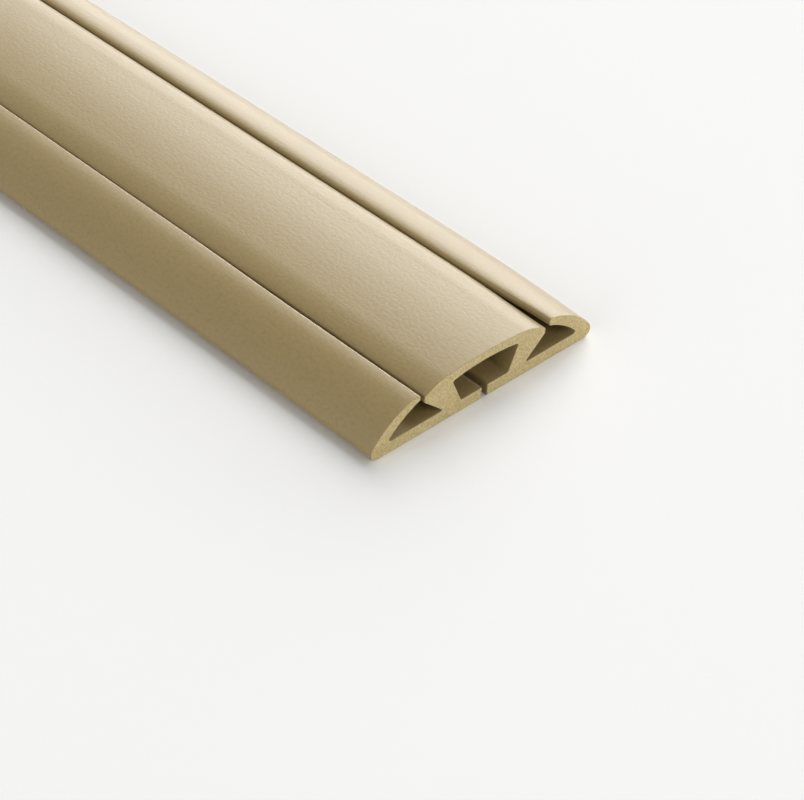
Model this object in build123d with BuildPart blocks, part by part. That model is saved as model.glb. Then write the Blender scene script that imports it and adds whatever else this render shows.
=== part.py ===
"""Cord cover raceway: one length of soft extruded floor stock with a dome, two wings and three cord channels."""

import os

from build123d import *

# overall size, in millimetres: X runs along the length, Z stands up from the floor
length = 1000.0
width = 65.0
height = 12.3

# base, flat on the floor, with its rounded outer edges and the slit that lets a cord in from below
base_thickness = 2.9
nose_radius = 1.95
slit_width = 1.7

# dome: a wide gentle crown, then a shoulder that falls to a rounded lip on each side
crown_width = 22.0
crown_drop = 0.62
dome_width = 35.6
dome_drop = 3.0
lip_thickness = 1.35
lip_radius = 0.85
dome_root_width = 24.1

# cord channel inside the dome, wider under the roof than at the floor
roof_thickness = 2.1
channel_floor_width = 13.9
channel_roof_width = 19.4
roof_arch = 0.95
channel_corner_radius = 0.45

# wings: flexible flaps that roll from the outer edges up to the dome's lips and close the side channels
wing_gap = 1.15
wing_tip_drop = 1.2
wing_tip_slope = 10.5
wing_tip_thickness = 1.85
wing_tip_radius = 0.8
wing_under_radius = 23.4
toe_width = 4.35
toe_radius = 0.55
root_radius = 0.3

half_width = width / 2
lip_y = dome_width / 2
lip_top = height - dome_drop
lip_bottom = lip_top - lip_thickness
tip_y = lip_y + wing_gap
tip_top = height - wing_tip_drop
tip_bottom = tip_top - wing_tip_thickness
roof_bottom = height - roof_thickness

# points of the half section, across the raceway and up from the floor
crown_end = (crown_width / 2, height - crown_drop)
lip_upper = (lip_y, lip_top)
lip_lower = (lip_y, lip_bottom)
dome_root = (dome_root_width / 2, base_thickness)
toe = (half_width - toe_width, base_thickness)
tip_lower = (tip_y, tip_bottom)
tip_upper = (tip_y, tip_top)
channel_foot = (channel_floor_width / 2, base_thickness)
channel_head = (channel_roof_width / 2, roof_bottom - roof_arch)
slit_lower = (slit_width / 2, 0)
slit_upper = (slit_width / 2, base_thickness)
base_end = (half_width - nose_radius, 0)

# the wing's outside is one arc that leaves the tip at its slope and runs into the round of the nose
nose_center = Vector(half_width - nose_radius, nose_radius)
tip_tangent = Vector(1, 0).rotate(Axis.Z, -wing_tip_slope)
tip_inward = tip_tangent.rotate(Axis.Z, -90)
reach = Vector(*tip_upper) - nose_center
wing_radius = (reach.dot(reach) - nose_radius**2) / (-2 * (reach.dot(tip_inward) + nose_radius))
wing_center = Vector(*tip_upper) + tip_inward * wing_radius
wing_end = wing_center + (nose_center - wing_center).normalized() * wing_radius


def corner(sketch, *points):
    """The sketch's vertices at the given points."""
    return [sketch.vertices().sort_by_distance(point)[0] for point in points]


with BuildPart() as cord_cover:
    with BuildSketch(Plane.YZ.offset(-length / 2)) as section:
        with BuildLine():
            # the dome's outside, from the middle of the crown down to the foot of the side channel
            crown = TangentArc((0, height), crown_end, tangent=(1, 0))
            TangentArc(crown_end, lip_upper, tangent=crown % 1)
            Polyline(lip_upper, lip_lower, dome_root, toe)
            # the wing, up its underside to the tip and back down its outside to the floor
            RadiusArc(toe, tip_lower, -wing_under_radius)
            Line(tip_lower, tip_upper)
            TangentArc(tip_upper, wing_end, tangent=tip_tangent)
            TangentArc(base_end, wing_end, tangent=(1, 0))
            # the base, the floor slit and the cord channel, back to the middle of its roof
            Polyline(base_end, slit_lower, slit_upper, channel_foot, channel_head)
            TangentArc((0, roof_bottom), channel_head, tangent=(1, 0))
            Line((0, roof_bottom), (0, height))
        make_face()
        fillet(corner(section, lip_upper, lip_lower), lip_radius)
        fillet(corner(section, tip_upper, tip_lower), wing_tip_radius)
        fillet(corner(section, dome_root), root_radius)
        fillet(corner(section, toe), toe_radius)
        fillet(corner(section, channel_foot, channel_head), channel_corner_radius)
        mirror(about=Plane.YZ)
    extrude(amount=length)

cord_cover.part.label = "cord_cover"

os.makedirs("parts", exist_ok=True)
export_step(cord_cover.part, "parts/cord_cover.step")
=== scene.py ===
import math
import random

import bpy
import numpy as np
from mathutils import Matrix, Vector, noise
from mathutils.geometry import delaunay_2d_cdt


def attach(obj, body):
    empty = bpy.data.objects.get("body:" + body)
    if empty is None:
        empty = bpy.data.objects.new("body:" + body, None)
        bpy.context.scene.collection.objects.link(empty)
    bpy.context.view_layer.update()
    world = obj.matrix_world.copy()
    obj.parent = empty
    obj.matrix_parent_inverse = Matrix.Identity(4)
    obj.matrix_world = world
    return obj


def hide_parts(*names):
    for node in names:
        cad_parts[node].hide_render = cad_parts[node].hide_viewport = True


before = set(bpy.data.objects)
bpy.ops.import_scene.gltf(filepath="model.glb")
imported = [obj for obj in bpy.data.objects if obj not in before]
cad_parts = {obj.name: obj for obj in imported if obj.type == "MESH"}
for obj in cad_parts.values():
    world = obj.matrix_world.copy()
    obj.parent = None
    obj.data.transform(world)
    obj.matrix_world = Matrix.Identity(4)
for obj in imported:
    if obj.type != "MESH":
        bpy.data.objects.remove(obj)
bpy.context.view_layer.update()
print("frame loaded, nodes:", ", ".join(sorted(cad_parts)))

mm = 0.001

# the section of the stock, all in millimetres, across and up from the floor
sectionSizes = {
    "length": 1000.0,
    "width": 65.0,
    "height": 12.3,
    "baseThickness": 2.9,
    "noseRadius": 1.95,          # rounded outer edges at the floor
    "slitWidth": 1.7,            # opening in the base
    "crownWidth": 22.0,          # gentle top of the dome
    "crownDrop": 0.62,
    "domeWidth": 35.6,           # from lip to lip
    "domeDrop": 3.0,
    "lipThickness": 1.35,
    "lipRadius": 0.85,
    "domeRootWidth": 24.1,       # where the dome stands on the base
    "roofThickness": 2.1,
    "channelFloorWidth": 13.9,
    "channelRoofWidth": 19.4,
    "roofArch": 0.95,
    "channelCorner": 0.45,
    "wingGap": 1.15,             # between a wing's tip and the dome's lip, before the wing shuts
    "wingTipDrop": 1.2,
    "wingTipSlope": 10.5,        # degrees
    "wingTipThickness": 1.85,
    "wingTipRadius": 0.42,
    "wingTipUnderRadius": 0.4,
    "wingUnderRadius": 23.4,
    "toeWidth": 4.35,            # from the outer edge to the inner foot of a wing
    "toeRadius": 0.55,
    "rootRadius": 0.3,
    "curveStep": 0.75,           # spacing of points on the curves,
    "noseStep": 0.4,             # on the rounded outer edges
    "flatStep": 1.1,             # and on the flats
    "cornerCuts": 7,             # pieces to a rounded corner
}


def turned(vector, degrees):
    angle = math.radians(degrees)
    c, s = math.cos(angle), math.sin(angle)
    return np.array([c * vector[0] - s * vector[1], s * vector[0] + c * vector[1]])


def unit(vector):
    return np.asarray(vector, float) / np.linalg.norm(vector)


def lineRun(start, end, step):
    start, end = np.array(start, float), np.array(end, float)
    count = max(2, math.ceil(np.linalg.norm(end - start) / step))
    return [start + (end - start) * i / count for i in range(count + 1)]


def arcRun(start, end, tangent, step):
    # an arc that leaves start along the tangent and stops at end
    start, end = np.array(start, float), np.array(end, float)
    chord = end - start
    across = tangent[0] * chord[1] - tangent[1] * chord[0]
    swing = math.degrees(math.atan2(across, float(np.dot(tangent, chord))))
    count = max(3, math.ceil(np.linalg.norm(chord) / step))
    run = []
    for i in range(count + 1):
        part = swing * i / count
        reach = math.sin(math.radians(part)) / math.sin(math.radians(swing))
        run.append(start + turned(unit(tangent), part) * np.linalg.norm(chord) * reach)
    return run


def pointAlong(run, distance):
    # the point this far along a run, the direction there and the points left after it
    for i in range(len(run) - 1):
        leg = np.linalg.norm(run[i + 1] - run[i])
        if distance <= leg or i == len(run) - 2:
            left = run[i + 1:] if distance <= leg else []
            return run[i] + (run[i + 1] - run[i]) * distance / leg, unit(run[i + 1] - run[i]), left
        distance -= leg


def roundCorner(before, after, radius, cuts):
    # both runs are trimmed by the same length and joined by a cubic that keeps their directions
    wayIn, wayOut = unit(before[-1] - before[-2]), unit(after[1] - after[0])
    bend = math.acos(max(-1.0, min(1.0, float(np.dot(wayIn, wayOut)))))
    trim = radius * math.tan(bend / 2)
    a, backward, restBefore = pointAlong(before[::-1], trim)
    b, forward, restAfter = pointAlong(after, trim)
    pull = 4 / 3 * math.tan(bend / 4) * radius
    c, d = a - backward * pull, b - forward * pull
    curve = []
    for i in range(cuts + 1):
        t = i / cuts
        curve.append(a * (1 - t) ** 3 + c * 3 * t * (1 - t) ** 2 + d * 3 * t * t * (1 - t) + b * t ** 3)
    spare = radius * 0.15                # points closer than this to the curve's ends are left out
    keepBefore = [p for p in restBefore if np.linalg.norm(p - a) > spare]
    keepAfter = [p for p in restAfter if np.linalg.norm(p - b) > spare]
    return keepBefore[::-1], curve, keepAfter


def halfSection(size):
    halfWidth, base, height = size["width"] / 2, size["baseThickness"], size["height"]
    lipY, lipTop = size["domeWidth"] / 2, height - size["domeDrop"]
    tipY, tipTop = lipY + size["wingGap"], height - size["wingTipDrop"]
    roof = height - size["roofThickness"]
    nose = size["noseRadius"]
    fine, flat, cuts = size["curveStep"], size["flatStep"], size["cornerCuts"]

    crownEnd = (size["crownWidth"] / 2, height - size["crownDrop"])
    lipUpper, lipLower = (lipY, lipTop), (lipY, lipTop - size["lipThickness"])
    domeRoot, toe = (size["domeRootWidth"] / 2, base), (halfWidth - size["toeWidth"], base)
    tipUpper, tipLower = (tipY, tipTop), (tipY, tipTop - size["wingTipThickness"])
    channelFoot = (size["channelFloorWidth"] / 2, base)
    channelHead = (size["channelRoofWidth"] / 2, roof - size["roofArch"])
    slitLower, slitUpper = (size["slitWidth"] / 2, 0.0), (size["slitWidth"] / 2, base)
    baseEnd, noseCenter = (halfWidth - nose, 0.0), np.array([halfWidth - nose, nose])

    crown = arcRun((0.0, height), crownEnd, (1.0, 0.0), fine)
    chordWay = unit(np.array(crownEnd) - (0.0, height))
    crownEndWay = turned(chordWay, math.degrees(math.atan2(chordWay[1], chordWay[0])))
    shoulder = arcRun(crownEnd, lipUpper, crownEndWay, fine)

    underChord = np.array(tipLower) - np.array(toe)
    underSwing = math.degrees(math.asin(np.linalg.norm(underChord) / (2 * size["wingUnderRadius"])))
    wingUnder = arcRun(toe, tipLower, turned(unit(underChord), -underSwing), fine)

    # the wing's back leaves the tip at its slope and runs into the round of the nose
    tipWay = turned((1.0, 0.0), -size["wingTipSlope"])
    inward = turned(tipWay, -90)
    reach = np.array(tipUpper) - noseCenter
    wingRadius = (reach @ reach - nose ** 2) / (-2 * (reach @ inward + nose))
    wingCenter = np.array(tipUpper) + inward * wingRadius
    wingEnd = wingCenter + unit(noseCenter - wingCenter) * wingRadius
    wingEndWay = turned(unit(wingEnd - wingCenter), -90)
    wingBack = arcRun(tipUpper, wingEnd, tipWay, fine)[:-1]
    noseRound = arcRun(wingEnd, baseEnd, wingEndWay, size["noseStep"])[:-1]
    underside = lineRun(baseEnd, slitLower, flat)
    roofRun = arcRun((0.0, roof), channelHead, (1.0, 0.0), fine)[::-1]

    # runs from the middle of the crown to the middle of the channel's roof,
    # with the radius of the corner that ends each
    runs = [
        (crown[:-1] + shoulder, size["lipRadius"]),
        (lineRun(lipUpper, lipLower, flat), size["lipRadius"]),
        (lineRun(lipLower, domeRoot, flat), size["rootRadius"]),
        (lineRun(domeRoot, toe, flat), size["toeRadius"]),
        (wingUnder, size["wingTipUnderRadius"]),
        (lineRun(tipLower, tipUpper, flat), size["wingTipRadius"]),
        (wingBack + noseRound + underside, 0),
        (lineRun(slitLower, slitUpper, flat), 0),
        (lineRun(slitUpper, channelFoot, flat), size["channelCorner"]),
        (lineRun(channelFoot, channelHead, flat), size["channelCorner"]),
        (roofRun, 0),
    ]
    outline, current = [], runs[0][0]
    for (_, radius), (following, _) in zip(runs, runs[1:]):
        if radius:
            current, curve, following = roundCorner(current, following, radius, cuts)
            outline += current + curve
        else:
            outline += current[:-1]
        current = following
    return np.array(outline + current)


half = halfSection(sectionSizes)
mirrored = half[:0:-1] * (-1, 1)                     # from the roof's middle up the left side to the crown
outline = np.concatenate([mirrored, half[:-1]])
stepLengths = np.linalg.norm(np.roll(outline, -1, axis=0) - outline, axis=1)
around = np.concatenate([[0.0], np.cumsum(stepLengths)])   # run round the section, one more than the points
print(f"section: {len(outline)} points, {around[-1]:.1f} mm round")

# how the soft stock lies, and how its ends were cut, in millimetres
coverMake = {
    "ringSpacing": 9.0,          # along the length
    # extra rings this far in from each end
    "endRings": [0.0, 0.05, 0.12, 0.4, 1.2, 3.0, 5.5, 8.0, 11.0, 14.0,
                 17.0, 20.0, 24.0, 28.0, 33.0, 39.0, 46.0, 54.0, 62.0],
    "knifeEase": [0.07, 0.02],   # how far the knife's edge is eased at the first of them
    "wingLift": 0.10,            # how far a wing's tip rises and falls along the length
    "wingLean": 0.05,            # and leans in and out
    "lipWave": 0.04,             # the same for the dome's lips
    "waveLength": 170.0,
    "lipWaveLength": 136.0,
    "calmEnd": 45.0,             # the wave dies away this near to an end
    # the wings stand open at the cut ends and lie shut further in, each in its own way
    "left": {
        "hold": 40.0,            # distance from the end where the wing starts to shut
        "over": 38.0,            # length that it shuts over
        "haste": 1.0,            # above 1, most of that happens early
        "in": 0.66,              # how far the tip moves in
        "down": 0.38,            # and down
        "swell": 0.1,            # how far the wing's back bulges
        "lipRise": 0.0,          # how far the dome's lip comes up to meet the wing
        "lipOut": 0.0,           # and out
        "droop": (0.55, 6.0, 2),     # roll of the tip: depth, reach, power
    },
    "right": {
        "hold": 0.0,
        "over": 50.0,
        "haste": 4.0,
        "in": 0.5,
        "down": 0.4,
        "swell": 1.15,
        "lipRise": 0.35,
        "lipOut": 0.5,
        "droop": (0.42, 3.0, 4),
    },
    "swellOver": 60.0,           # the bulge grows over this length
    "swellPeak": 0.34,           # where it is largest, 0 being a wing's root and 1 its tip
    "wingMiddle": (14.99, -10.28),   # middle of the arc of a wing's back
    "wingArc": 21.74,            # and its radius
    "wingTurn": (57.0, 10.9),    # degrees from upright, at the root and at the tip
    "liftPower": 1.6,            # how much the moves keep to the tip
    "shutPower": 1.2,
    "toeCalm": 2.4,              # the inner foot of a wing stays put over this height
    "lipFrom": 10.5,             # the dome's lip gives from here outward,
    "lipOver": 7.0,              # over this width
    "lipUp": 5.0,                # and this height
    "cutGrid": 0.27,             # spacing of the points on a cut face
    "cutJitter": 0.07,
    "cutMargin": 0.55,           # clear of the outline, as a share of the spacing
    "cutRim": 0.5,               # the cut face stays flat this near to its edge
    "cellsPerMm": 1.5,           # open cells to a square millimetre of cut face
    "cellRadius": (0.12, 0.36),
    "cellDepth": (0.03, 0.13),
    "knifeWave": 0.04,           # ripple that the knife left
    "knifeTurns": (0.35, 0.9),   # ripples to a millimetre, across and up
    "seed": 41,
}


def smooth(value):
    value = np.clip(value, 0.0, 1.0)
    return value * value * (3 - 2 * value)


def slowWave(x, lane, waveLength):
    # a long wave and a shorter one, from another part of the noise for each lane
    along = x / waveLength
    long = noise.noise(Vector((along, lane * 7.3, 1.7)))
    short = noise.noise(Vector((along * 2.3, lane * 3.1, 9.2)))
    return long + 0.4 * short


def ringPlaces(make, length):
    # distance along X of each ring, with the ease of the knife's edge there
    eases = make["knifeEase"] + [0.0] * (len(make["endRings"]) - len(make["knifeEase"]))
    near = [(length / 2 - gap, ease) for gap, ease in zip(make["endRings"], eases)]
    reach = length / 2 - make["endRings"][-1]
    count = round(reach / make["ringSpacing"])
    middle = [(reach * i / count, 0.0) for i in range(-count + 1, count)]
    return [(-x, ease) for x, ease in near] + middle + near[::-1]


def lieShares(outline, size, make):
    # how much of each move a point of the section takes, from 0, which stays put, to 1
    y, z = outline[:, 0], outline[:, 1]
    away, side = np.abs(y), np.sign(y)
    base, lipY = size["baseThickness"], size["domeWidth"] / 2
    tipY, noseY = lipY + size["wingGap"], size["width"] / 2 - size["noseRadius"]
    tipTop, tipThick = size["height"] - size["wingTipDrop"], size["wingTipThickness"]
    pastGap = away > lipY + size["wingGap"] / 2
    onWing = pastGap & (z > base + 0.05)
    onLip = ~pastGap & (away > size["domeRootWidth"] / 2 - 2) & (z > base + 0.3)

    # the back of a wing, turning round the middle of its arc
    middleY, middleZ = make["wingMiddle"]
    rootTurn, tipTurn = make["wingTurn"]
    peak = make["swellPeak"]
    fromUpright = np.degrees(np.arctan2(away - middleY, z - middleZ))
    wingTurn = np.clip((rootTurn - fromUpright) / (rootTurn - tipTurn), 0, 1)
    onBack = np.hypot(away - middleY, z - middleZ) > make["wingArc"] - tipThick / 2
    fromToe = np.where(onBack & (z > size["noseRadius"]), 1.0, smooth((z - base) / make["toeCalm"]))
    bulge = smooth(wingTurn / peak) * np.cos(np.pi / 2 * np.clip((wingTurn - peak) / (1 - peak), 0, 1))
    swellWay = np.stack([y - side * middleY, z - middleZ], 1)

    wingRun = np.where(onWing, np.clip((noseY - away) / (noseY - tipY), 0, 1), 0)
    wingRise = np.clip((z - base) / (tipTop - base), 0, 1)
    lip = smooth((away - make["lipFrom"]) / make["lipOver"]) * smooth((z - base) / make["lipUp"])
    return {
        "side": side,
        "fromTip": away - tipY,
        "aboveTip": np.where(onWing, smooth((z - tipTop + tipThick) / tipThick), 0),
        "lift": np.where(onWing, wingRise ** make["liftPower"], 0),
        "shut": wingRun ** make["shutPower"] * fromToe,
        "swell": bulge * fromToe * pastGap,
        "swellWay": swellWay / np.linalg.norm(swellWay, axis=1)[:, None],
        "lip": np.where(onLip, lip, 0),
    }


def layRing(ring, x, shares, size, make):
    # the section as the soft stock lies at this distance along the length
    fromEnd = size["length"] / 2 - abs(x)
    calm = float(smooth(fromEnd / make["calmEnd"]))
    swollen = 1 - max(0.0, 1 - fromEnd / make["swellOver"]) ** 3
    side, shutShare, lipShare, liftShare = (shares[k] for k in ("side", "shut", "lip", "lift"))
    for lane, name, which in ((1, "right", side > 0), (2, "left", side < 0)):
        lie = make[name]
        closed = 1 - (1 - float(smooth((fromEnd - lie["hold"]) / lie["over"]))) ** lie["haste"]
        depth, reach, power = lie["droop"]
        droop = depth * shares["aboveTip"] * np.clip(1 - shares["fromTip"] / reach, 0, 1) ** power
        lift = slowWave(x, lane, make["waveLength"]) * make["wingLift"] * calm
        lean = slowWave(x, lane + 4, make["waveLength"]) * make["wingLean"] * calm
        lipLift = slowWave(x, lane + 8, make["lipWaveLength"]) * make["lipWave"] * calm
        outWay = closed * (lie["lipOut"] * lipShare - lie["in"] * shutShare) + lean * liftShare
        upWay = closed * (lie["lipRise"] * lipShare - lie["down"] * shutShare)
        upWay = upWay + lift * liftShare + lipLift * lipShare - droop
        ring = ring + (which * swollen * lie["swell"] * shares["swell"])[:, None] * shares["swellWay"]
        ring = ring + np.stack([which * side * outWay, which * upWay], 1)
    return ring


def insideOutline(points, loop):
    y, z = points[:, :1], points[:, 1:]
    y0, z0 = loop[:, 0], loop[:, 1]
    y1, z1 = np.roll(y0, -1), np.roll(z0, -1)
    rise = np.where(z1 == z0, 1e-12, z1 - z0)
    crosses = ((z0 > z) != (z1 > z)) & (y < (y1 - y0) * (z - z0) / rise + y0)
    return crosses.sum(1) % 2 == 1


def gapToOutline(points, loop):
    leg = np.roll(loop, -1, axis=0) - loop
    t = ((points[:, None] - loop) * leg).sum(2) / (leg * leg).sum(1)
    foot = loop + np.clip(t, 0, 1)[:, :, None] * leg
    return np.linalg.norm(points[:, None] - foot, axis=2).min(1)


def cutFace(loop, make, dice):
    # triangles over a cut end: points of the loop first, then the points inside, with how deep each sinks
    step, jitter = make["cutGrid"], make["cutJitter"]
    low, high = loop.min(0), loop.max(0)
    rows = []
    for row, z in enumerate(np.arange(low[1], high[1], step * math.sqrt(0.75))):
        for y in np.arange(low[0] + (row % 2) * step / 2, high[0], step):
            rows.append((y + dice.uniform(-jitter, jitter), z + dice.uniform(-jitter, jitter)))
    grid = np.array(rows)
    grid = grid[insideOutline(grid, loop)]
    grid = grid[gapToOutline(grid, loop) > step * make["cutMargin"]]
    rim = gapToOutline(grid, loop)

    # open cells of the foamed stock, laid bare by the knife
    deep = np.zeros(len(grid))
    for _ in range(int(make["cellsPerMm"] * np.prod(high - low))):
        middle = np.array([dice.uniform(low[0], high[0]), dice.uniform(low[1], high[1])])
        radius = dice.uniform(*make["cellRadius"])
        depth = dice.uniform(*make["cellDepth"])
        away = np.linalg.norm(grid - middle, axis=1) / radius
        deep = np.maximum(deep, depth * np.clip(1 - away ** 2, 0, 1))
    turnsY, turnsZ = make["knifeTurns"]
    ripple = [noise.noise(Vector((y * turnsY, z * turnsZ, dice.random() * 0.001))) for y, z in grid]
    ripple = np.array(ripple)
    deep = (deep + make["knifeWave"] * (0.5 + 0.5 * ripple)) * smooth(rim / make["cutRim"])

    everyPoint = [Vector(p) for p in np.concatenate([loop, grid])]
    found = delaunay_2d_cdt(everyPoint, [], [list(range(len(loop)))], 1, 1e-7)
    source = [group[0] for group in found[3]]
    triangles = []
    for face in found[2]:
        a, b, c = (source[i] for i in face)
        turn = (everyPoint[b] - everyPoint[a]).cross(everyPoint[c] - everyPoint[a])
        triangles.append((a, b, c) if turn > 0 else (a, c, b))
    return grid, deep, triangles


def buildCover(outline, size, make):
    dice = random.Random(make["seed"])
    count, length = len(outline), size["length"]
    along = np.roll(outline, -1, axis=0) - np.roll(outline, 1, axis=0)
    outward = np.stack([-along[:, 1], along[:, 0]], 1) / np.linalg.norm(along, axis=1)[:, None]
    shares = lieShares(outline, size, make)
    places = ringPlaces(make, length)

    points = []
    for x, ease in places:
        ring = layRing(outline - outward * ease, x, shares, size, make)
        points += [(x, p[0], p[1]) for p in ring]
    faces = []
    for r in range(len(places) - 1):
        here, there = r * count, (r + 1) * count
        for i in range(count):
            j = (i + 1) % count
            faces.append((here + i, there + i, there + j, here + j))
    skinFaces = len(faces)

    for end, ring in ((-1, 0), (1, len(places) - 1)):
        loop = np.array(points[ring * count:(ring + 1) * count])[:, 1:]
        grid, deep, triangles = cutFace(loop, make, dice)
        place = list(range(ring * count, (ring + 1) * count))        # where each point stands in the mesh
        place += range(len(points), len(points) + len(grid))
        points += [(end * (length / 2 - d), p[0], p[1]) for p, d in zip(grid, deep)]
        for a, b, c in triangles:
            faces.append((place[a], place[b], place[c]) if end > 0 else (place[a], place[c], place[b]))

    points = np.array(points)
    mesh = bpy.data.meshes.new("cordCover")
    mesh.from_pydata((points * mm).tolist(), [], faces)
    mesh.polygons.foreach_set("use_smooth", np.ones(len(faces), bool))
    return mesh, skinFaces, np.array([x for x, _ in places]), faces, points


coverMesh, skinFaces, runX, coverFaces, coverPoints = buildCover(outline, sectionSizes, coverMake)
print(f"cord cover mesh: {len(coverMesh.vertices)} points, {len(coverMesh.polygons)} faces")


def layMaps(mesh, skinFaces, runX, faces, points, around, size):
    # skinRun: millimetres along and round the stock, for the grain
    # OFBake: the same skin in two strips, beside the two cut faces
    count, girth, half, width = len(around) - 1, around[-1], size["length"] / 2, size["width"]
    gap, endScale = 4.0, 1.8             # millimetres between strips, and how much larger the cut faces lie
    sheet = 2 * girth + 3 * gap
    grain, flat = [], []
    for f in range(skinFaces):
        r, i = divmod(f, count)
        low, high, a, b = runX[r], runX[r + 1], around[i] - girth / 2, around[i + 1] - girth / 2
        strip = 1 if (low + high) / 2 > 0 else 0
        acrossStart, upStart = gap + half - strip * half, gap + strip * (girth + gap) + girth / 2
        for x, s in ((low, a), (high, a), (high, b), (low, b)):
            grain.append((x, s))
            flat.append(((acrossStart + x) / sheet, (upStart + s) / sheet))
    for face in faces[skinFaces:]:
        for k in face:
            x, y, z = points[k]
            grain.append((y, z))
            acrossStart, upStart = half + gap * 2, gap if x < 0 else gap * 2 + width * endScale
            across, up = acrossStart + z * endScale, upStart + (y + width / 2) * endScale
            flat.append((across / sheet, up / sheet))
    for name, places in (("OFBake", flat), ("skinRun", grain)):
        layer = mesh.uv_layers.new(name=name)
        layer.uv.foreach_set("vector", np.array(places, np.float32).ravel())


layMaps(coverMesh, skinFaces, runX, coverFaces, coverPoints, around, sectionSizes)

# the knife's edge stays crisp between the skin and the cut face
endEdge = np.zeros(len(coverMesh.vertices), bool)
endEdge[:len(outline)] = True
endEdge[(len(runX) - 1) * len(outline):len(runX) * len(outline)] = True
isSharp = [bool(endEdge[e.vertices[0]] and endEdge[e.vertices[1]]) for e in coverMesh.edges]
sharp = coverMesh.attributes.new("sharp_edge", "BOOLEAN", "EDGE")
sharp.data.foreach_set("value", np.array(isSharp))

# the skin is rubbed a little paler in the last millimetre at the ends
rubReach = 0.5
rub = coverMesh.attributes.new("rubbed", "FLOAT", "POINT")
nearEnd = np.exp(-(sectionSizes["length"] / 2 - np.abs(coverPoints[:, 0])) / rubReach)
rub.data.foreach_set("value", np.clip(nearEnd, 0, 1).astype(np.float32))

coverMesh.update()
coverMesh.validate()
cordCover = bpy.data.objects.new("cordCover", coverMesh)
bpy.context.scene.collection.objects.link(cordCover)
print("maps, knife's edge and rubbed ends done")


def newMaterial(name):
    material = bpy.data.materials.new(name)
    material.use_nodes = True
    material.node_tree.nodes.clear()
    return material, material.node_tree


def setSocket(tree, socket, value):
    if isinstance(value, bpy.types.NodeSocket):
        tree.links.new(value, socket)
    else:
        socket.default_value = value


def addNode(tree, kind, values=None, **settings):
    node = tree.nodes.new(kind)
    for key, value in settings.items():
        setattr(node, key, value)
    for key, value in (values or {}).items():
        setSocket(tree, node.inputs[key], value)
    return node


def mathOf(tree, a, b, operation="ADD"):
    return addNode(tree, "ShaderNodeMath", {0: a, 1: b}, operation=operation).outputs[0]


def remap(tree, value, fromLow, fromHigh, toLow, toHigh):
    ends = {"From Min": fromLow, "From Max": fromHigh, "To Min": toLow, "To Max": toHigh}
    return addNode(tree, "ShaderNodeMapRange", {"Value": value, **ends}).outputs["Result"]


def blendColour(tree, share, a, b):
    node = addNode(tree, "ShaderNodeMix", data_type="RGBA", blend_type="MIX")
    for place, value in ((0, share), (6, a), (7, b)):
        setSocket(tree, node.inputs[place], value)
    return node.outputs[2]


def stretched(tree, run, long, wide, turn=0.0):
    # one unit of the result is this long and wide on the stock, in millimetres, turned by so many degrees
    values = {"Vector": run, "Rotation": (0, 0, math.radians(turn)), "Scale": (long, wide, 1)}
    return addNode(tree, "ShaderNodeMapping", values, vector_type="TEXTURE").outputs[0]


def cloud(tree, vector, detail, rough=0.5, bend=0.0):
    values = {"Vector": vector, "Scale": 1.0, "Detail": detail, "Roughness": rough, "Distortion": bend}
    return addNode(tree, "ShaderNodeTexNoise", values, noise_dimensions="2D").outputs["Fac"]


def cellsOf(tree, vector):
    return addNode(tree, "ShaderNodeTexVoronoi", {"Vector": vector, "Scale": 1.0}, voronoi_dimensions="2D")


def bumpOf(tree, height, distance, strength=1.0, **under):
    values = {"Strength": strength, "Distance": distance * mm, "Height": height, **under}
    return addNode(tree, "ShaderNodeBump", values).outputs["Normal"]


# colours are linear, lengths in millimetres and turns in degrees from the length
vinylLook = {
    "tan": (0.337, 0.246, 0.102, 1),
    "darkTan": (0.322, 0.235, 0.096, 1),
    "paleTan": (0.352, 0.258, 0.108, 1),
    "rubbedTan": (0.361, 0.267, 0.118, 1),
    # the colour of the shade painted into the grain's low parts
    "paintedGrainShade": (0.290, 0.211, 0.086, 1),
    "speck": (0.20, 0.14, 0.07, 1),
    "grainTurn": 6.0,
    "grainLong": 1.1,
    "grainWide": 0.8,
    "grainHeight": 0.034,
    "grainShade": 0.75,          # how much painted shade darkens the low parts of the grain
    "dieLong": 260.0,            # faint lines drawn along the stock by the die
    "dieWide": 0.9,
    "dieHeight": 0.012,
    "dieRough": 0.03,
    "mottleTurn": 12.0,          # broad patches of darker tan
    "mottleLong": 34.0,
    "mottleWide": 13.0,
    "fleckTurn": 13.0,           # small patches of paler tan
    "fleckLong": 0.95,
    "fleckWide": 0.6,
    "rubLong": 6.0,              # breaks up the rubbed ends
    "rubWide": 1.2,
    "rubShare": 0.75,
    "speckSpacing": 11.0,
    "speckEdge": (0.026, 0.014), # shares of the spacing
    "speckShare": 0.45,
    "speckChance": 0.25,
    "roughLow": 0.42,
    "roughHigh": 0.50,
    "sheen": 0.6,                # pale bloom where the skin turns away
    "sheenRough": 0.3,
}


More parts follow.
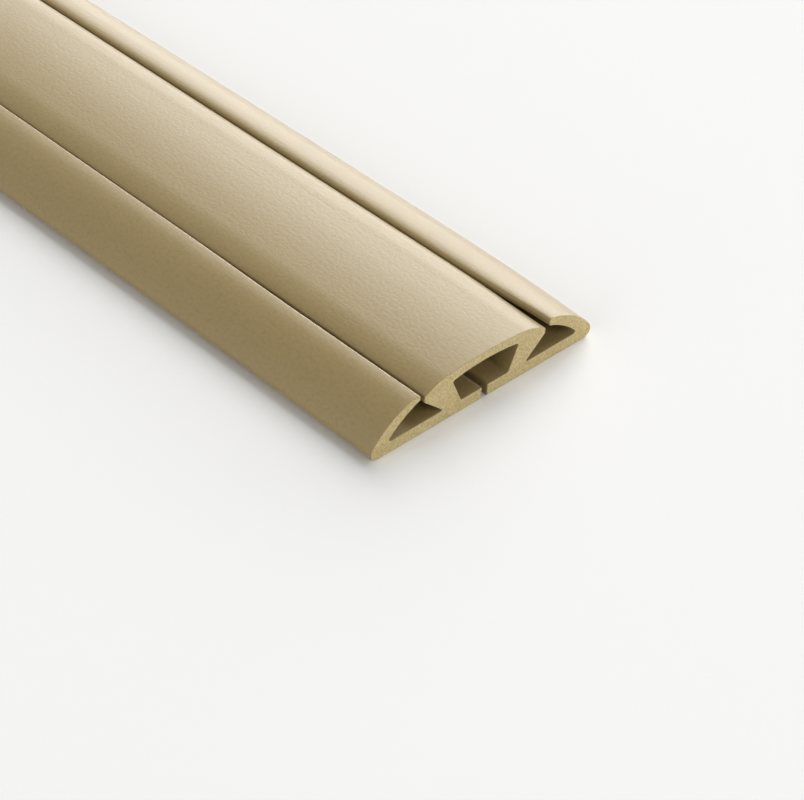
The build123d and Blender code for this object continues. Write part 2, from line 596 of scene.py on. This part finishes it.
def tanVinylSkin(look):
    material, tree = newMaterial("tanVinylSkin")
    run = addNode(tree, "ShaderNodeUVMap", uv_map="skinRun").outputs["UV"]
    grainRun = stretched(tree, run, look["grainLong"], look["grainWide"], -look["grainTurn"])
    mottleRun = stretched(tree, run, look["mottleLong"], look["mottleWide"], -look["mottleTurn"])
    fleckRun = stretched(tree, run, look["fleckLong"], look["fleckWide"], -look["fleckTurn"])
    grain = cloud(tree, grainRun, 2.0, 0.5, 0.35)
    dieLines = cloud(tree, stretched(tree, run, look["dieLong"], look["dieWide"]), 3.0, 0.6)
    mottle = cloud(tree, mottleRun, 3.0, 0.55)
    fleck = cloud(tree, fleckRun, 2.0)
    rubPatch = cloud(tree, stretched(tree, run, look["rubLong"], look["rubWide"]), 3.0, 0.6)

    colour = blendColour(tree, remap(tree, mottle, 0.3, 0.7, 0, 1), look["darkTan"], look["tan"])
    colour = blendColour(tree, remap(tree, fleck, 0.42, 0.8, 0, 1), colour, look["paleTan"])
    # painted shade: the low parts of the grain's relief are darkened, as their shade
    grainShadeShare = remap(tree, grain, 0.52, 0.26, 0, look["grainShade"])
    colour = blendColour(tree, grainShadeShare, colour, look["paintedGrainShade"])

    # the rubbed ends, in patches
    rubbed = addNode(tree, "ShaderNodeAttribute", attribute_name="rubbed").outputs["Fac"]
    worn = mathOf(tree, rubbed, remap(tree, rubPatch, 0.35, 0.65, 0, look["rubShare"]), "MULTIPLY")
    colour = blendColour(tree, worn, colour, look["rubbedTan"])

    # a few dark specks in the stock
    cells = cellsOf(tree, stretched(tree, run, look["speckSpacing"], look["speckSpacing"]))
    spot = remap(tree, cells.outputs["Distance"], *look["speckEdge"], 0, look["speckShare"])
    pick = addNode(tree, "ShaderNodeSeparateColor", {"Color": cells.outputs["Color"]}).outputs["Red"]
    chosen = mathOf(tree, pick, 1 - look["speckChance"], "GREATER_THAN")
    colour = blendColour(tree, mathOf(tree, spot, chosen, "MULTIPLY"), colour, look["speck"])

    grainRough = remap(tree, grain, 0.25, 0.75, look["roughLow"], look["roughHigh"])
    dieRough = remap(tree, dieLines, 0.3, 0.7, -look["dieRough"], look["dieRough"])
    dieBump = bumpOf(tree, dieLines, look["dieHeight"])
    shader = addNode(tree, "ShaderNodeBsdfPrincipled", {
        "Base Color": colour,
        "Roughness": mathOf(tree, grainRough, dieRough),
        "IOR": 1.5,
        "Sheen Weight": look["sheen"],
        "Sheen Roughness": look["sheenRough"],
        "Normal": bumpOf(tree, grain, look["grainHeight"], Normal=dieBump),
    })
    addNode(tree, "ShaderNodeOutputMaterial", {"Surface": shader.outputs[0]})
    return material


cutLook = {
    "sand": (0.592, 0.465, 0.222, 1),
    "paleSand": (0.716, 0.595, 0.317, 1),
    # the colour of the shade painted into the pits
    "paintedPoreShade": (0.318, 0.239, 0.110, 1),
    "cellSize": 0.41,            # millimetres
    "crumbSize": 0.26,
    "patchSize": 3.5,
    "hollowShade": 0.72,         # how strongly painted shade darkens the open cells and the low gaps between the crumbs
    "crumbShade": 0.66,
    "bumpHeight": 0.05,
    "rough": 0.8,
    "roughSpread": 0.08,
    "specular": 0.3,
}


def cutFaceStock(look):
    material, tree = newMaterial("cutFaceStock")
    run = addNode(tree, "ShaderNodeUVMap", uv_map="skinRun").outputs["UV"]
    cells = cellsOf(tree, stretched(tree, run, look["cellSize"], look["cellSize"]))
    tone = addNode(tree, "ShaderNodeSeparateColor", {"Color": cells.outputs["Color"]}).outputs["Green"]
    crumbs = cloud(tree, stretched(tree, run, look["crumbSize"], look["crumbSize"]), 2.0, 0.6)
    patches = cloud(tree, stretched(tree, run, look["patchSize"], look["patchSize"]), 2.0)

    paleShare = mathOf(tree, tone, remap(tree, patches, 0.3, 0.7, 0.4, 1.0), "MULTIPLY")
    colour = blendColour(tree, paleShare, look["sand"], look["paleSand"])
    # painted shade: the open cells and the low gaps between the crumbs are darkened, as the shade inside
    # these pits
    inCell = remap(tree, cells.outputs["Distance"], 0.42, 0.1, 0, 1)
    poreShadeShare = remap(tree, tone, 0.55, 0.2, 0, look["hollowShade"])
    colour = blendColour(tree, mathOf(tree, inCell, poreShadeShare, "MULTIPLY"), colour, look["paintedPoreShade"])
    crumbShadeShare = remap(tree, crumbs, 0.45, 0.25, 0, look["crumbShade"])
    colour = blendColour(tree, crumbShadeShare, colour, look["paintedPoreShade"])

    height = mathOf(tree, remap(tree, cells.outputs["Distance"], 0.0, 0.6, 0, 1), crumbs)
    low, high = look["rough"] - look["roughSpread"], look["rough"] + look["roughSpread"]
    shader = addNode(tree, "ShaderNodeBsdfPrincipled", {
        "Base Color": colour,
        "Roughness": remap(tree, crumbs, 0.2, 0.8, low, high),
        "IOR": 1.5,
        "Specular IOR Level": look["specular"],
        "Normal": bumpOf(tree, height, look["bumpHeight"], 0.8),
    })
    addNode(tree, "ShaderNodeOutputMaterial", {"Surface": shader.outputs[0]})
    return material


coverMesh.materials.append(tanVinylSkin(vinylLook))
coverMesh.materials.append(cutFaceStock(cutLook))
whichMaterial = np.zeros(len(coverFaces), np.int32)
whichMaterial[skinFaces:] = 1
coverMesh.polygons.foreach_set("material_index", whichMaterial)
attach(cordCover, "root")
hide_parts("cord_cover")
print("materials done:", ", ".join(m.name for m in coverMesh.materials))

# metres and degrees; glow is how bright a box's face looks, 1 being a white sheet in full light
stageSet = {
    "floorSize": 7.0,
    "floorDrop": 0.00005,        # just under the stock
    "floorColour": (0.947, 0.944, 0.931, 1),
    "floorPale": 1.01,           # how much brighter its paler patches are
    "fadeFrom": 1.1,             # the floor fades to white between these distances
    "fadeTo": 2.8,
    "worldColour": (1.0, 0.995, 0.985, 1),
    "worldStrength": 0.05,
    "lightTarget": (0.45, 0.0, 0.0),
    "boxDistance": 6.6,
    "boxWide": 4.8,
    "boxes": {
        "backLowBox": {"azimuth": 120.0, "elevation": 10.0, "tall": 1.8, "glow": 1.77},
        "backBox": {"azimuth": 120.0, "elevation": 20.0, "tall": 4.4, "glow": 4.38},
        "backHighBox": {"azimuth": 120.0, "elevation": 42.0, "tall": 4.4, "glow": 2.28},
        "sideLowBox": {"azimuth": 85.0, "elevation": 10.0, "tall": 1.8, "glow": 2.2},
        "sideBox": {"azimuth": 85.0, "elevation": 45.0, "tall": 4.4, "glow": 1.99},
        "frontBox": {"azimuth": 10.0, "elevation": 30.0, "tall": 4.4, "glow": 2.58},
        "fillBox": {"azimuth": -92.0, "elevation": 20.0, "tall": 4.4, "glow": 2.79},
    },
}


def wayTo(azimuth, elevation):
    az, el = math.radians(azimuth), math.radians(elevation)
    return Vector((math.cos(az) * math.cos(el), math.sin(az) * math.cos(el), math.sin(el)))


def seenShare(tree):
    # 1 for what is looked at, straight on, in a gloss or through glass
    path = addNode(tree, "ShaderNodeLightPath")
    seen = mathOf(tree, path.outputs["Is Camera Ray"], path.outputs["Is Transmission Ray"], "MAXIMUM")
    return mathOf(tree, seen, path.outputs["Is Glossy Ray"], "MAXIMUM")


def paleFloor(stage):
    material, tree = newMaterial("paleFloor")
    place = addNode(tree, "ShaderNodeTexCoord").outputs["Object"]
    mist = addNode(tree, "ShaderNodeTexNoise", {"Vector": place, "Scale": 3.0, "Detail": 2.0}).outputs["Fac"]
    paler = tuple(c * stage["floorPale"] for c in stage["floorColour"][:3]) + (1,)
    colour = blendColour(tree, remap(tree, mist, 0.3, 0.7, 0, 1), stage["floorColour"], paler)
    values = {"Base Color": colour, "Roughness": 0.9, "Specular IOR Level": 0.0}
    shader = addNode(tree, "ShaderNodeBsdfPrincipled", values)

    # far from the stock the floor fades into the white background
    away = addNode(tree, "ShaderNodeVectorMath", {0: place}, operation="LENGTH").outputs["Value"]
    ends = {"Value": away, "From Min": stage["fadeFrom"], "From Max": stage["fadeTo"]}
    fade = addNode(tree, "ShaderNodeMapRange", ends, interpolation_type="SMOOTHSTEP").outputs["Result"]
    white = addNode(tree, "ShaderNodeEmission", {"Color": stage["worldColour"], "Strength": 1.0}).outputs[0]
    share = mathOf(tree, fade, seenShare(tree), "MULTIPLY")
    surface = addNode(tree, "ShaderNodeMixShader", {0: share, 1: shader.outputs[0], 2: white})
    addNode(tree, "ShaderNodeOutputMaterial", {"Surface": surface.outputs[0]})

    h = stage["floorSize"] / 2
    mesh = bpy.data.meshes.new("floor")
    mesh.from_pydata([(-h, -h, 0), (h, -h, 0), (h, h, 0), (-h, h, 0)], [], [(0, 1, 2, 3)])
    mesh.materials.append(material)
    floor = bpy.data.objects.new("floor", mesh)
    bpy.context.scene.collection.objects.link(floor)
    floor.location.z = -stage["floorDrop"]


def softBox(name, box, stage):
    way = wayTo(box["azimuth"], box["elevation"])
    lamp = bpy.data.lights.new(name, "AREA")
    lamp.shape, lamp.size, lamp.size_y = "RECTANGLE", stage["boxWide"], box["tall"]
    lamp.energy = box["glow"] * math.pi * stage["boxWide"] * box["tall"]
    holder = bpy.data.objects.new(name, lamp)
    bpy.context.scene.collection.objects.link(holder)
    holder.location = Vector(stage["lightTarget"]) + way * stage["boxDistance"]
    holder.rotation_euler = way.to_track_quat("Z", "Y").to_euler()


def softWorld(stage):
    # white where it is seen, faint where it lights
    world = bpy.data.worlds.new("studio")
    world.use_nodes = True
    tree = world.node_tree
    tree.nodes.clear()
    strength = remap(tree, seenShare(tree), 0, 1, stage["worldStrength"], 1.0)
    sky = addNode(tree, "ShaderNodeBackground", {"Color": stage["worldColour"], "Strength": strength})
    addNode(tree, "ShaderNodeOutputWorld", {"Surface": sky.outputs[0]})
    bpy.context.scene.world = world


paleFloor(stageSet)
softWorld(stageSet)
for boxName, box in stageSet["boxes"].items():
    softBox(boxName, box, stageSet)
print("floor and lights done")

# the camera at the photo's angle, in metres and degrees, with its lens in millimetres
cameraSet = {
    "target": (0.48944, -0.01376, 0.0),
    "azimuth": -44.92,
    "elevation": 39.39,
    "roll": -2.38,
    "distance": 0.51396,
    "lens": 109.79,
    "sensor": 36.0,
    "clip": (0.01, 50.0),
}


def placeCamera(place):
    roll = math.radians(place["roll"])
    back = wayTo(place["azimuth"], place["elevation"])
    right = (-back).cross(Vector((0, 0, 1))).normalized()
    down = (-back).cross(right)
    across = right * math.cos(roll) + down * math.sin(roll)
    below = down * math.cos(roll) - right * math.sin(roll)
    lens = bpy.data.cameras.new("photoCamera")
    lens.lens, lens.sensor_width, lens.sensor_fit = place["lens"], place["sensor"], "HORIZONTAL"
    lens.clip_start, lens.clip_end = place["clip"]
    camera = bpy.data.objects.new("photoCamera", lens)
    bpy.context.scene.collection.objects.link(camera)
    stand = Matrix.Translation(Vector(place["target"]) + back * place["distance"])
    camera.matrix_world = stand @ Matrix((across, -below, back)).transposed().to_4x4()
    bpy.context.scene.camera = camera


placeCamera(cameraSet)
bpy.context.scene.view_settings.view_transform = "Standard"
print("camera placed")

bpy.context.view_layer.update()
